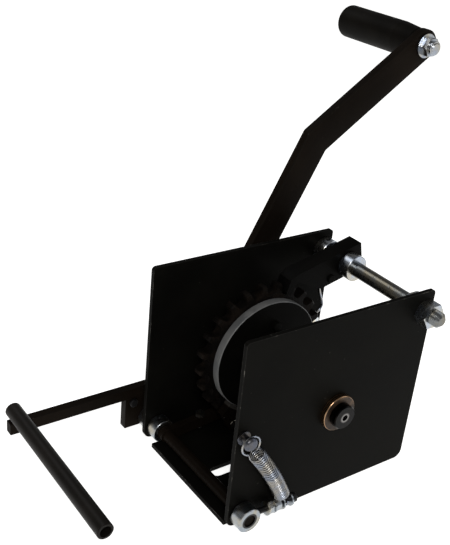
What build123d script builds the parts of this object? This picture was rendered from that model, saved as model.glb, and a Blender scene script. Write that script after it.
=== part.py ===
from build123d import *
import math
import os

# Hand winch with a ratchet sprocket, a brake disc and a sprung foot bar, in millimetres.
# Frame: X runs along the side plates, Y from the front plate to the rear plate, Z up.
# The origin is the centre of the base plate's underside, which is the face that is bolted down.
# Angles in an XZ view are counted from +X towards +Z.

# ---- side plates and base ----
PLATE_W = 228.6
PLATE_H = 203.2
PLATE_T = 4.8
PLATE_GAP = 149.2
BASE_T = 4.8
TOP_CORNER_R = 4.0
BOTTOM_CORNER_R = 9.0
WELD_LEG = 4.0
WELD_END = 12.0
SLOT_W = 13.5
SLOT_L = 50.0
SLOT_SPACING = 122.0
SLOT_PLACE = -11.0
NOTCH_GAP = 1.2

# ---- main shaft and its bushings ----
SHAFT_X = 4.0
SHAFT_Z = 96.0
SHAFT_D = 25.4
SHAFT_NOSE = 8.0
BUSH_WALL = 3.175
BUSH_LIP = 3.2
BUSH_FLANGE_T = 6.0
BUSH_EDGE = 1.2
CENTRE_HOLE_D = 6.5
CENTRE_HOLE_DEPTH = 14.0
SHAFT_EDGE = 1.0
RUNNING_GAP = 0.05
BODY_GAP = 0.4
SEAM_ANGLE = 37.0
KEY_W = 6.35
KEY_END_GAP = 1.5

# ---- cable drum ----
THRUST_D = 44.0
THRUST_T = 3.2
DRUM_FLANGE_D = 126.0
DRUM_FLANGE_T = 4.8
BARREL_D = 60.3
BARREL_WALL = 3.9
ROPE_HOLE_D = 9.0

# ---- brake disc and ratchet sprocket ----
DISC_D = 126.0
DISC_T = 9.5
DISC_EDGE = 0.8
TEETH = 24
CHAIN_PITCH = 19.05
ROLLER_D = 11.91
SEAT_GAP = 0.07
TOOTH_W = 11.7
TOOTH_TIP_W = 4.4
TOOTH_CHAMFER = 1.4
HUB_D = 76.0
HUB_L = 19.7
GAP_ANGLE = 72.0
DISC_SCREWS = 6
DISC_SCREW_PCD = 92.0
DISC_SCREW_D = 8.0
DISC_SCREW_HEAD_D = 15.0
DISC_SCREW_HEAD_T = 4.0
HUB_SCREW_D = 8.0
HUB_SCREW_ANGLE = 0.0
ROPE_SCREW_D = 6.0
ROPE_SCREW_HEAD_D = 10.0
ROPE_SCREW_HEAD_T = 4.0
ROPE_SCREW_R = 35.6
ROPE_SCREW_ANGLE = 80.0

# ---- crank arm and grip ----
CRANK_W = 35.0
CRANK_T = 9.5
CRANK_STANDOFF = 30.1
CRANK_ANGLE_1 = 63.0
CRANK_ANGLE_2 = 34.4
CRANK_L1 = 222.0
CRANK_L2 = 169.0
CRANK_BEND_R = 6.0
CRANK_HUB_D = 44.0
CRANK_HUB_L = 23.0
CRANK_EDGE = 0.8
CRANK_BOLT_D = 10.0
CRANK_BOLT_L = 30.0
CRANK_BOLT_AF = 17.0
CRANK_BOLT_HEAD_T = 7.0
CRANK_WASHER_D = 34.0
CRANK_WASHER_T = 3.0
GRIP_D = 38.0
GRIP_L = 118.0
GRIP_WAIST_D = 33.0
GRIP_WAIST_L = 26.0
GRIP_WAIST_EDGE = 2.5
GRIP_GAP = 0.4
GRIP_WASHER_D = 24.0
GRIP_WASHER_T = 1.2
HANDLE_BOLT_D = 12.7
HANDLE_NUT_AF = 19.05
HANDLE_NUT_T = 9.0
HANDLE_NUT_RING_T = 4.0
HANDLE_WASHER_D = 27.0
HANDLE_WASHER_T = 2.4
HANDLE_HEAD_AF = 19.05
HANDLE_HEAD_T = 8.0
HANDLE_RECESS_D = 26.0
HANDLE_BOLT_PROUD = 1.2
HANDLE_NUT_RING_D = 16.0

# ---- pawl and its rod ----
ROD_X = 102.7
ROD_Z = 182.0
ROD_D = 15.9
ROD_NUT_AF = 23.8
ROD_NUT_T = 13.9
ROD_FRONT_OUT = 24.0
ROD_REAR_OUT = 17.0
COLLAR_W = 14.0
COLLAR_EDGE = 0.6
COLLAR_SCREW_SUNK = 0.8
SOCKET_AF = 3.2
SOCKET_DEPTH = 2.0
ROD_TIP_L = 3.2
ROD_THREAD_PITCH = 2.31
ROD_THREAD_DEPTH = 1.1
ROD_COLLAR_D = 28.6
ROD_COLLAR_ANGLE = 95.0
PAWL_COLLAR_ANGLE = 300.0
PAWL_T = 19.0
PAWL_OVERHANG = 1.2
PAWL_TILT = 14.0
PAWL_RIGHT = 20.0
PAWL_ABOVE = 17.6
PAWL_BELOW = 14.1
PAWL_NOSE_R = 4.4
PAWL_NOSE_NECK = 5.2
PAWL_TOP_END = 66.0
PAWL_BOTTOM_END = 38.0
PAWL_TIP_CLEAR = 1.4
PAWL_PIN_BACK = 24.0
PAWL_PIN_DROP = 7.4
PAWL_PIN_D = 6.0
PAWL_PIN_HEAD_D = 9.0
PAWL_PIN_HEAD_T = 2.2
PAWL_WIRE_D = 3.2
PAWL_COIL_CLEAR = 1.05
PAWL_COIL_TURNS = 2
COIL_CLOSENESS = 0.97
LEG_KNEE = (4.0, 38.0)
LEG_SWAY = (13.5, 16.0)
LEG_FOOT = (10.0, 7.0)
LEG_BEND_R = 3.2
LEG_LEAN = 30.0
ANCHOR_X = 85.0
ANCHOR_Z = 107.0
ANCHOR_D = 6.0
ANCHOR_HEAD_D = 10.0
ANCHOR_HEAD_T = 3.0

# ---- brake shaft, foot bar and brake shoe ----
PEDAL_X = -98.8
PEDAL_Z = 13.3
PEDAL_D = 12.7
PEDAL_FIT = 0.08
COLLAR_D = 25.4
COLLAR_SCREW_D = 6.0
PEDAL_COLLAR_ANGLE = 100.0
STUD_ANGLE = 0.0
LINK_T = 9.5
LINK_W = 40.0
LINK_LEFT = 28.6
LINK_TOP = 28.0
LINK_BELOW = 8.0
ARM_T = 9.5
ARM_H = 12.7
ARM_REACH = 148.2
ARM_END = 8.0
FOOT_BAR_D = 15.9
FOOT_BAR_WALL = 2.4
FOOT_BAR_L = 192.5
FOOT_BAR_OVERHANG = 3.0
LINK_SCREW_D = 6.0
LINK_SCREW_HEAD_D = 9.0
LINK_SCREW_HEAD_T = 3.0
BRAKE_ARM_T = 8.0
BRAKE_ARM_H = 12.0
BRAKE_HUB_R = 8.0
BRAKE_REACH = 68.8
BRAKE_RISE = 6.2
CROSS_PIN_D = 10.0
SHOE_BOSS_R = 7.5
SHOE_T = 9.0
SHOE_HALF_ANGLE = 17.0
SHOE_DEPTH = 12.0
LINING_T = 4.0
LINING_GAP = 0.4
STOP_SCREW_D = 6.0
STOP_SCREW_REACH = 41.8
STOP_SCREW_HEAD_AF = 10.0
STOP_SCREW_HEAD_T = 4.0
STOP_GAP = 3.1

# ---- return spring ----
STUD_D = 6.0
STUD_L = 53.2
STUD_HEAD_D = 10.0
STUD_HEAD_T = 6.0
STUD_NUT_AF = 11.0
STUD_NUT_T = 6.5
STUD_NUT_PLACES = (25.0, 33.2)
STUD_WASHER_D = 14.0
STUD_WASHER_T = 1.6
STUD_WASHER_GAP = 8.4
SPRING_SCREW_X = -106.5
SPRING_SCREW_Z = 103.2
SPRING_SCREW_D = 8.0
SPRING_HEAD_D = 14.0
SPRING_HEAD_T = 4.0
SPRING_WASHER_D = 14.0
SPRING_WASHER_T = 1.6
SPRING_WIRE_D = 1.9
SPRING_OD = 17.0
SPRING_EYE_R = 9.8
SPRING_SLACK = 0.1
HOOK_R = 4.5
SPRING_BODY_TOP = 18.0
SPRING_BODY_BOTTOM = 14.5

# ---- places worked out from the sizes above ----
INNER_Y = PLATE_GAP / 2
BUSH_OD = SHAFT_D + 2 * BUSH_WALL
BUSH_FLANGE_D = BUSH_OD + 2 * BUSH_LIP
OUTER_Y = INNER_Y + PLATE_T
SHAFT_R = SHAFT_D / 2
FRONT_WASHER_Y = -INNER_Y + BODY_GAP
DRUM_FLANGE_Y = FRONT_WASHER_Y + THRUST_T
HUB_END_Y = INNER_Y - BODY_GAP - THRUST_T
TEETH_END_Y = HUB_END_Y - HUB_L
TEETH_Y = TEETH_END_Y - TOOTH_W
DISC_Y = TEETH_Y - DISC_T
BARREL_Y = DRUM_FLANGE_Y + DRUM_FLANGE_T
PITCH_R = CHAIN_PITCH / 2 / math.sin(math.pi / TEETH)
TIP_R = CHAIN_PITCH * (0.6 + 1 / math.tan(math.pi / TEETH)) / 2
SEAT_R = ROLLER_D / 2 + SEAT_GAP
CRANK_Y = OUTER_Y + CRANK_STANDOFF
CRANK_END_Y = CRANK_Y + CRANK_T
SHAFT_FRONT_Y = -OUTER_Y - BUSH_FLANGE_T - SHAFT_NOSE
SHAFT_REAR_Y = CRANK_END_Y - BODY_GAP
HANDLE_X = (
    SHAFT_X
    + CRANK_L1 * math.cos(math.radians(CRANK_ANGLE_1))
    + CRANK_L2 * math.cos(math.radians(CRANK_ANGLE_2))
)
HANDLE_Z = (
    SHAFT_Z
    + CRANK_L1 * math.sin(math.radians(CRANK_ANGLE_1))
    + CRANK_L2 * math.sin(math.radians(CRANK_ANGLE_2))
)
GRIP_Y = CRANK_END_Y + GRIP_WASHER_T + GRIP_GAP
GRIP_END_Y = GRIP_Y + GRIP_L
RECESS_Y = GRIP_END_Y - HANDLE_HEAD_T - 2 * GRIP_GAP
BOLT_HEAD_Y = RECESS_Y + GRIP_GAP
PEDAL_FRONT_Y = -OUTER_Y - BODY_GAP - COLLAR_W
INNER_COLLAR_Y = INNER_Y - BODY_GAP - COLLAR_W
OUTER_COLLAR_Y = OUTER_Y + BODY_GAP
LINK_Y = OUTER_COLLAR_Y + COLLAR_W
LINK_END_Y = LINK_Y + LINK_T
BRAKE_ARM_Y = INNER_COLLAR_Y - BRAKE_ARM_T
ARM_Z = PEDAL_Z + LINK_TOP
FOOT_X = PEDAL_X - ARM_REACH
FOOT_Z = ARM_Z + ARM_H + FOOT_BAR_D / 2
CROSS_X = PEDAL_X + BRAKE_REACH
CROSS_Z = PEDAL_Z + BRAKE_RISE
STUD_Y = PEDAL_FRONT_Y + COLLAR_W / 2
STUD_END_X = PEDAL_X + STUD_L
HOOK_X = STUD_END_X - STUD_WASHER_T - STUD_WASHER_GAP / 2
PAWL_COIL_R = (ROD_D + PAWL_WIRE_D) / 2 + PAWL_COIL_CLEAR
PAWL_END_Y = TEETH_END_Y + PAWL_OVERHANG
PAWL_Y = PAWL_END_Y - PAWL_T
PAWL_COLLAR_Y = PAWL_Y - BODY_GAP - COLLAR_W
ROD_COLLAR_Y = INNER_Y - COLLAR_W
PAWL_COIL_Y = (PAWL_END_Y + ROD_COLLAR_Y) / 2
LINK_SCREW_X = PEDAL_X - LINK_LEFT + LINK_SCREW_HEAD_D
LINK_SCREW_Z = ARM_Z - LINK_SCREW_HEAD_D / 2 - COLLAR_EDGE
STOP_SCREW_X = PEDAL_X + STOP_SCREW_REACH
STOP_SCREW_Y = BRAKE_ARM_Y + BRAKE_ARM_T / 2
STOP_HEAD_Z = PEDAL_Z + STOP_SCREW_REACH * BRAKE_RISE / BRAKE_REACH + BRAKE_ARM_H / 2
SHOE_ANGLE = math.degrees(math.atan2(CROSS_Z - SHAFT_Z, CROSS_X - SHAFT_X))
SPRING_Y = -OUTER_Y - BODY_GAP - SPRING_OD / 2
HEAD_Y = SPRING_Y - SPRING_WIRE_D / 2 - BODY_GAP


# ---- helpers ----
def prism(profile, y_from, y_to):
    """Extrude an XZ profile, drawn as (x, z), from y_from to y_to."""
    return extrude(Plane.XZ.offset(-y_to) * profile, amount=y_to - y_from)


def rod_y(x, z, diameter, y_from, y_to):
    """A round bar along Y, with its seam turned away from every hole in the parts."""
    return prism(Pos(x, z) * Rot(0, 0, SEAM_ANGLE) * Circle(diameter / 2), y_from, y_to)


def rod_x(y, z, diameter, x_from, x_to):
    length = x_to - x_from
    return Pos(x_from + length / 2, y, z) * Rot(0, 90, 0) * Cylinder(diameter / 2, length)


def rod_z(x, y, diameter, z_from, z_to):
    length = z_to - z_from
    return Pos(x, y, z_from + length / 2) * Cylinder(diameter / 2, length)


def block(x_from, x_to, y_from, y_to, z_from, z_to):
    size = (x_to - x_from, y_to - y_from, z_to - z_from)
    place = Pos(x_from + size[0] / 2, y_from + size[1] / 2, z_from + size[2] / 2)
    return place * Box(*size)


def polar(radius, angle, x=SHAFT_X, z=SHAFT_Z):
    """A point in the XZ view, radius from (x, z) at an angle in degrees."""
    turn = math.radians(angle)
    return (x + radius * math.cos(turn), z + radius * math.sin(turn))


def rims(solid, radius):
    """The full circular edges of one radius."""
    circles = solid.edges().filter_by(GeomType.CIRCLE)
    return [edge for edge in circles if abs(edge.radius - radius) < 0.001]


def end_rim(solid, radius, y):
    """The circular edges of one radius that lie at one Y."""
    return [edge for edge in rims(solid, radius) if abs(edge.arc_center.Y - y) < 0.001]


def hex_nut_y(x, z, across_flats, y_from, y_to, bore=0.0, edge=1.0):
    """A hexagon along Y whose corners are turned off at both ends."""
    hexagon = prism(Pos(x, z) * RegularPolygon(across_flats / 2, 6, major_radius=False), y_from, y_to)
    corner_r = across_flats / math.sqrt(3)
    turned = rod_y(x, z, 2 * corner_r, y_from, y_to)
    turned = chamfer(turned.edges().filter_by(GeomType.CIRCLE), edge)
    nut = hexagon & turned
    if bore:
        nut -= rod_y(x, z, bore, y_from, y_to)
    return nut


def thread_points(radius, depth, start, turns, pitch):
    """Crests and roots of a thread, as (radius, place) pairs."""
    points = []
    for turn in range(turns):
        points.append((radius, start + turn * pitch))
        points.append((radius - depth, start + (turn + 0.5) * pitch))
    points.append((radius, start + turns * pitch))
    return points


def turned_y(x, z, points):
    """Revolve a closed outline of (radius, y) points about a Y axis through (x, z)."""
    outline = Polyline(*[(x + radius, y, z) for radius, y in points], close=True)
    return revolve(make_face(outline), Axis((x, 0, z), (0, 1, 0)), 360)


def ring_y(x, z, ring_r, wire_d, y):
    """A round-wire ring about a Y axis."""
    section = Plane((x + ring_r, y, z), x_dir=(1, 0, 0), z_dir=(0, 0, 1)) * Circle(wire_d / 2)
    return revolve(section, Axis((x, y, z), (0, 1, 0)), 360)


def write(name, shape):
    export_step(shape, f"parts/{name}.step")


# ---- side plates and base ----
def plate_outline():
    outline = Pos(0, PLATE_H / 2) * Rectangle(PLATE_W, PLATE_H)
    top = outline.vertices().group_by(Axis.Y)[-1]
    outline = fillet(top, TOP_CORNER_R)
    bottom = outline.vertices().group_by(Axis.Y)[0]
    return fillet(bottom, BOTTOM_CORNER_R)


def plate(y_from, y_to):
    body = prism(plate_outline(), y_from, y_to)
    body -= rod_y(SHAFT_X, SHAFT_Z, BUSH_OD, y_from, y_to)
    body -= rod_y(ROD_X, ROD_Z, ROD_D, y_from, y_to)
    body -= rod_y(PEDAL_X, PEDAL_Z, PEDAL_D + 2 * PEDAL_FIT, y_from, y_to)
    return body


def front_plate():
    hole = rod_y(SPRING_SCREW_X, SPRING_SCREW_Z, SPRING_SCREW_D, -OUTER_Y, -INNER_Y)
    return plate(-OUTER_Y, -INNER_Y) - hole


def rear_plate():
    hole = rod_y(ANCHOR_X, ANCHOR_Z, ANCHOR_D, INNER_Y, OUTER_Y)
    return plate(INNER_Y, OUTER_Y) - hole


def base_plate():
    """Slotted floor of the frame, cut away at one corner for the brake shaft's inner collar."""
    body = block(-PLATE_W / 2, PLATE_W / 2, -INNER_Y, INNER_Y, 0, BASE_T)
    for side in (-1, 1):
        slot = Pos(side * SLOT_SPACING / 2, SLOT_PLACE) * SlotOverall(SLOT_L, SLOT_W)
        body -= extrude(slot, amount=BASE_T)
    notch_x = PEDAL_X + COLLAR_D / 2 + NOTCH_GAP
    notch_y = INNER_COLLAR_Y - NOTCH_GAP
    return body - block(-PLATE_W / 2, notch_x, notch_y, INNER_Y, 0, BASE_T)


def weld_bead(side, x_from, x_to):
    """A fillet weld along the foot of one plate, on the base plate's top."""
    y = side * INNER_Y
    corner = [(x_from, y, BASE_T), (x_from, y - side * WELD_LEG, BASE_T), (x_from, y, BASE_T + WELD_LEG)]
    face = make_face(Polyline(*corner, close=True))
    return extrude(face, amount=x_to - x_from, dir=(1, 0, 0))


def base_welds():
    left = PEDAL_X + COLLAR_D / 2 + WELD_END
    right = PLATE_W / 2 - WELD_END
    return Compound([weld_bead(side, left, right) for side in (-1, 1)])


def bushing(side):
    """Flanged bronze bushing, pressed into a plate from outside."""
    outer = side * OUTER_Y
    flange_face = side * (OUTER_Y + BUSH_FLANGE_T)
    sleeve = rod_y(SHAFT_X, SHAFT_Z, BUSH_OD, *sorted((side * INNER_Y, outer)))
    flange = rod_y(SHAFT_X, SHAFT_Z, BUSH_FLANGE_D, *sorted((outer, flange_face)))
    flange = fillet(end_rim(flange, BUSH_FLANGE_D / 2, flange_face), BUSH_EDGE)
    bore = SHAFT_D + 2 * RUNNING_GAP
    return sleeve + flange - rod_y(SHAFT_X, SHAFT_Z, bore, *sorted((side * INNER_Y, flange_face)))


# ---- drum, disc and sprocket ----
def key(y_from, y_to):
    """Square key, half in the shaft and half in the part that it drives."""
    z = SHAFT_Z + SHAFT_R
    return block(SHAFT_X - KEY_W / 2, SHAFT_X + KEY_W / 2, y_from, y_to, z - KEY_W / 2, z + KEY_W / 2)


def sprocket_key():
    return key(TEETH_Y + KEY_END_GAP, HUB_END_Y - KEY_END_GAP)


def crank_key():
    return key(CRANK_Y - CRANK_HUB_L + KEY_END_GAP, CRANK_Y - KEY_END_GAP)


def main_shaft():
    shaft = rod_y(SHAFT_X, SHAFT_Z, SHAFT_D, SHAFT_FRONT_Y, SHAFT_REAR_Y)
    shaft = chamfer(rims(shaft, SHAFT_R), SHAFT_EDGE)
    shaft -= rod_y(SHAFT_X, SHAFT_Z, CENTRE_HOLE_D, SHAFT_FRONT_Y, SHAFT_FRONT_Y + CENTRE_HOLE_DEPTH)
    shaft -= rod_y(SHAFT_X, SHAFT_Z, CRANK_BOLT_D, SHAFT_REAR_Y - CRANK_BOLT_L, SHAFT_REAR_Y)
    return shaft - sprocket_key() - crank_key()


def thrust_washer(y_from):
    washer = rod_y(SHAFT_X, SHAFT_Z, THRUST_D, y_from, y_from + THRUST_T)
    return washer - rod_y(SHAFT_X, SHAFT_Z, SHAFT_D, y_from, y_from + THRUST_T)


def thrust_washers():
    return Compound([thrust_washer(FRONT_WASHER_Y), thrust_washer(HUB_END_Y)])


def drum_flange():
    flange = rod_y(SHAFT_X, SHAFT_Z, DRUM_FLANGE_D, DRUM_FLANGE_Y, BARREL_Y)
    flange = chamfer(rims(flange, DRUM_FLANGE_D / 2), DISC_EDGE)
    x, z = polar((BARREL_D + ROPE_HOLE_D) / 2 + DISC_EDGE, GAP_ANGLE)
    flange -= rod_y(x, z, ROPE_HOLE_D, DRUM_FLANGE_Y, BARREL_Y)
    return flange - rod_y(SHAFT_X, SHAFT_Z, SHAFT_D, DRUM_FLANGE_Y, BARREL_Y)


def drum_barrel():
    barrel = rod_y(SHAFT_X, SHAFT_Z, BARREL_D, BARREL_Y, DISC_Y)
    return barrel - rod_y(SHAFT_X, SHAFT_Z, BARREL_D - 2 * BARREL_WALL, BARREL_Y, DISC_Y)


def disc_screw(angle):
    """Countersunk screw, flush with the disc's face and driven into the sprocket."""
    x, z = polar(DISC_SCREW_PCD / 2, angle)
    shank_r = DISC_SCREW_D / 2
    head_r = DISC_SCREW_HEAD_D / 2
    end_y = TEETH_Y + TOOTH_W
    neck_y = DISC_Y + DISC_SCREW_HEAD_T
    points = [(0, DISC_Y), (head_r, DISC_Y), (shank_r, neck_y), (shank_r, end_y), (0, end_y)]
    return turned_y(x, z, points)


def disc_screw_solids():
    step = 360 / DISC_SCREWS
    return [disc_screw(GAP_ANGLE + step / 2 + number * step) for number in range(DISC_SCREWS)]


def rope_screw_hole():
    x, z = polar(ROPE_SCREW_R, ROPE_SCREW_ANGLE)
    return rod_y(x, z, ROPE_SCREW_D, DISC_Y, TEETH_Y)


def rope_clamp_screw():
    x, z = polar(ROPE_SCREW_R, ROPE_SCREW_ANGLE)
    head = rod_y(x, z, ROPE_SCREW_HEAD_D, DISC_Y - ROPE_SCREW_HEAD_T, DISC_Y)
    head = fillet(end_rim(head, ROPE_SCREW_HEAD_D / 2, DISC_Y - ROPE_SCREW_HEAD_T), DISC_EDGE)
    return head + rope_screw_hole()


def brake_disc():
    disc = rod_y(SHAFT_X, SHAFT_Z, DISC_D, DISC_Y, TEETH_Y)
    disc = chamfer(rims(disc, DISC_D / 2), DISC_EDGE)
    disc -= rod_y(SHAFT_X, SHAFT_Z, SHAFT_D, DISC_Y, TEETH_Y)
    disc -= rope_screw_hole()
    for screw in disc_screw_solids():
        disc -= screw
    return disc


def tooth_gap():
    """The space between two teeth: a roller seat that widens to the tips, lying along +X."""
    half_tip_gap = math.pi * TIP_R / TEETH - TOOTH_TIP_W / 2
    out = TIP_R + TOOTH_TIP_W
    half_out = SEAT_R + (half_tip_gap - SEAT_R) * (out - PITCH_R) / (TIP_R - PITCH_R)
    corners = [(PITCH_R, -SEAT_R), (out, -half_out), (out, half_out), (PITCH_R, SEAT_R)]
    flare = make_face(Polyline(*corners, close=True))
    return Pos(PITCH_R, 0) * Circle(SEAT_R) + flare


def ratchet_sprocket():
    """Toothed ring and hub in one piece; the pawl drops into the gap at GAP_ANGLE."""
    ring = rod_y(SHAFT_X, SHAFT_Z, 2 * TIP_R, TEETH_Y, TEETH_END_Y)
    ring = chamfer(rims(ring, TIP_R), TOOTH_CHAMFER)
    gap = tooth_gap()
    for number in range(TEETH):
        turned_gap = Pos(SHAFT_X, SHAFT_Z) * Rot(0, 0, GAP_ANGLE + number * 360 / TEETH) * gap
        ring -= prism(turned_gap, TEETH_Y, TEETH_END_Y)
    hub = rod_y(SHAFT_X, SHAFT_Z, HUB_D, TEETH_END_Y, HUB_END_Y)
    hub = chamfer(end_rim(hub, HUB_D / 2, HUB_END_Y), DISC_EDGE)
    sprocket = ring + hub - rod_y(SHAFT_X, SHAFT_Z, SHAFT_D, TEETH_Y, HUB_END_Y)
    for screw in disc_screw_solids():
        sprocket -= screw
    return sprocket - sprocket_key() - hub_screw_hole()


def hub_screw_hole():
    y = (TEETH_END_Y + HUB_END_Y) / 2
    return radial_rod(SHAFT_X, SHAFT_Z, y, 0, HUB_D / 2 + DISC_EDGE, HUB_SCREW_D, HUB_SCREW_ANGLE)


def hub_set_screw():
    """Set screw in the sprocket hub, square to the key."""
    y = (TEETH_END_Y + HUB_END_Y) / 2
    end = HUB_D / 2 - COLLAR_SCREW_SUNK
    return radial_rod(SHAFT_X, SHAFT_Z, y, SHAFT_R, end, HUB_SCREW_D, HUB_SCREW_ANGLE)


# ---- crank ----
def crank_profile():
    """Dog-leg flat bar with round ends, drawn about its centre line."""
    half = CRANK_W / 2
    bend = polar(CRANK_L1, CRANK_ANGLE_1)
    mitre_angle = (CRANK_ANGLE_1 + CRANK_ANGLE_2) / 2 + 90
    mitre_r = half / math.cos(math.radians((CRANK_ANGLE_1 - CRANK_ANGLE_2) / 2))
    outer = polar(mitre_r, mitre_angle, *bend)
    inner = polar(-mitre_r, mitre_angle, *bend)
    points = [
        polar(half, CRANK_ANGLE_1 + 90),
        outer,
        polar(half, CRANK_ANGLE_2 + 90, HANDLE_X, HANDLE_Z),
        polar(-half, CRANK_ANGLE_2 + 90, HANDLE_X, HANDLE_Z),
        inner,
        polar(-half, CRANK_ANGLE_1 + 90),
    ]
    bar = make_face(Polyline(*points, close=True))
    corners = [v for v in bar.vertices() if math.dist((v.X, v.Y), outer) < 0.01]
    corners += [v for v in bar.vertices() if math.dist((v.X, v.Y), inner) < 0.01]
    bar = fillet(corners, CRANK_BEND_R)
    return bar + Pos(SHAFT_X, SHAFT_Z) * Circle(half) + Pos(HANDLE_X, HANDLE_Z) * Circle(half)


def crank_arm():
    arm = prism(crank_profile(), CRANK_Y, CRANK_END_Y)
    arm = chamfer(arm.faces().sort_by(Axis.Y)[0].edges(), CRANK_EDGE)
    arm -= rod_y(SHAFT_X, SHAFT_Z, SHAFT_D, CRANK_Y, CRANK_END_Y)
    return arm - rod_y(HANDLE_X, HANDLE_Z, HANDLE_BOLT_D, CRANK_Y, CRANK_END_Y)


def crank_hub():
    start = CRANK_Y - CRANK_HUB_L
    hub = rod_y(SHAFT_X, SHAFT_Z, CRANK_HUB_D, start, CRANK_Y)
    hub = chamfer(end_rim(hub, CRANK_HUB_D / 2, start), DISC_EDGE)
    return hub - rod_y(SHAFT_X, SHAFT_Z, SHAFT_D, start, CRANK_Y) - crank_key()


def crank_washer():
    washer = rod_y(SHAFT_X, SHAFT_Z, CRANK_WASHER_D, CRANK_END_Y, CRANK_END_Y + CRANK_WASHER_T)
    return washer - rod_y(SHAFT_X, SHAFT_Z, CRANK_BOLT_D, CRANK_END_Y, CRANK_END_Y + CRANK_WASHER_T)


def crank_bolt():
    head_y = CRANK_END_Y + CRANK_WASHER_T
    head = hex_nut_y(SHAFT_X, SHAFT_Z, CRANK_BOLT_AF, head_y, head_y + CRANK_BOLT_HEAD_T)
    return head + rod_y(SHAFT_X, SHAFT_Z, CRANK_BOLT_D, SHAFT_REAR_Y - CRANK_BOLT_L, head_y)


def handle_washer(y_from, thickness, diameter):
    washer = rod_y(HANDLE_X, HANDLE_Z, diameter, y_from, y_from + thickness)
    return washer - rod_y(HANDLE_X, HANDLE_Z, HANDLE_BOLT_D, y_from, y_from + thickness)


def handle_washers():
    front = handle_washer(CRANK_Y - HANDLE_WASHER_T, HANDLE_WASHER_T, HANDLE_WASHER_D)
    return Compound([front, handle_washer(CRANK_END_Y, GRIP_WASHER_T, GRIP_WASHER_D)])


def handle_nut():
    """Lock nut: a hexagon and the round collar that holds its nylon ring."""
    seat = CRANK_Y - HANDLE_WASHER_T
    step = seat - HANDLE_NUT_T
    nut = hex_nut_y(HANDLE_X, HANDLE_Z, HANDLE_NUT_AF, step, seat)
    ring = rod_y(HANDLE_X, HANDLE_Z, HANDLE_NUT_RING_D, step - HANDLE_NUT_RING_T, step)
    ring = fillet(end_rim(ring, HANDLE_NUT_RING_D / 2, step - HANDLE_NUT_RING_T), DISC_EDGE)
    return nut + ring - rod_y(HANDLE_X, HANDLE_Z, HANDLE_BOLT_D, step - HANDLE_NUT_RING_T, seat)


def handle_bolt():
    front = CRANK_Y - HANDLE_WASHER_T - HANDLE_NUT_T - HANDLE_NUT_RING_T - HANDLE_BOLT_PROUD
    shank = rod_y(HANDLE_X, HANDLE_Z, HANDLE_BOLT_D, front, BOLT_HEAD_Y)
    shank = chamfer(end_rim(shank, HANDLE_BOLT_D / 2, front), SHAFT_EDGE)
    return shank + hex_nut_y(HANDLE_X, HANDLE_Z, HANDLE_HEAD_AF, BOLT_HEAD_Y, BOLT_HEAD_Y + HANDLE_HEAD_T)


def handle_grip():
    """Turned grip with a narrower waist next to the arm and a recess for the bolt's head."""
    bore_r = HANDLE_BOLT_D / 2 + PEDAL_FIT
    waist_r = GRIP_WAIST_D / 2
    grip_r = GRIP_D / 2
    recess_r = HANDLE_RECESS_D / 2
    points = [
        (bore_r, GRIP_Y),
        (waist_r, GRIP_Y),
        (grip_r, GRIP_Y + GRIP_WAIST_L),
        (grip_r, GRIP_END_Y),
        (recess_r, GRIP_END_Y),
        (recess_r, RECESS_Y),
        (bore_r, RECESS_Y),
    ]
    grip = turned_y(HANDLE_X, HANDLE_Z, points)
    grip = fillet(end_rim(grip, grip_r, GRIP_END_Y), (GRIP_D - HANDLE_RECESS_D) / 2 - DISC_EDGE)
    return fillet(end_rim(grip, waist_r, GRIP_Y), GRIP_WAIST_EDGE)


# ---- pawl and its rod ----
def pawl_point(back, up):
    """A point on the pawl: back towards its nose and up from the rod's centre, both along the bar."""
    x, z = polar(-back, PAWL_TILT, ROD_X, ROD_Z)
    return polar(up, PAWL_TILT + 90, x, z)


def pawl():
    """Flat bar on the rod, cut round the sprocket, whose nose drops into one tooth gap."""
    nose = polar(PITCH_R, GAP_ANGLE)
    neck = polar(TIP_R + PAWL_TIP_CLEAR + PAWL_NOSE_NECK, GAP_ANGLE)
    side = PAWL_NOSE_R
    corners = [
        pawl_point(-PAWL_RIGHT, -PAWL_BELOW),
        pawl_point(-PAWL_RIGHT, PAWL_ABOVE),
        pawl_point(PAWL_TOP_END, PAWL_ABOVE),
        polar(side, GAP_ANGLE + 90, *neck),
        polar(side, GAP_ANGLE - 90, *neck),
        pawl_point(PAWL_BOTTOM_END, -PAWL_BELOW),
    ]
    bar = make_face(Polyline(*corners, close=True))
    bar -= Pos(SHAFT_X, SHAFT_Z) * Circle(TIP_R + PAWL_TIP_CLEAR)
    shank_corners = [
        polar(side, GAP_ANGLE + 90, *neck),
        polar(side, GAP_ANGLE - 90, *neck),
        polar(side, GAP_ANGLE - 90, *nose),
        polar(side, GAP_ANGLE + 90, *nose),
    ]
    shank = make_face(Polyline(*shank_corners, close=True))
    profile = bar + shank + Pos(*nose) * Circle(side)
    body = prism(profile, PAWL_Y, PAWL_END_Y)
    body -= rod_y(ROD_X, ROD_Z, ROD_D + 2 * PEDAL_FIT, PAWL_Y, PAWL_END_Y)
    x, z = pawl_point(PAWL_PIN_BACK, -PAWL_PIN_DROP)
    return body - rod_y(x, z, PAWL_PIN_D, PAWL_Y, PAWL_END_Y)


def pawl_pin():
    """Pin through the pawl; its tail carries the spring's short leg."""
    x, z = pawl_point(PAWL_PIN_BACK, -PAWL_PIN_DROP)
    head = rod_y(x, z, PAWL_PIN_HEAD_D, PAWL_Y - PAWL_PIN_HEAD_T, PAWL_Y)
    head = fillet(end_rim(head, PAWL_PIN_HEAD_D / 2, PAWL_Y - PAWL_PIN_HEAD_T), DISC_EDGE)
    return head + rod_y(x, z, PAWL_PIN_D, PAWL_Y, PAWL_COIL_Y + PAWL_WIRE_D)


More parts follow.
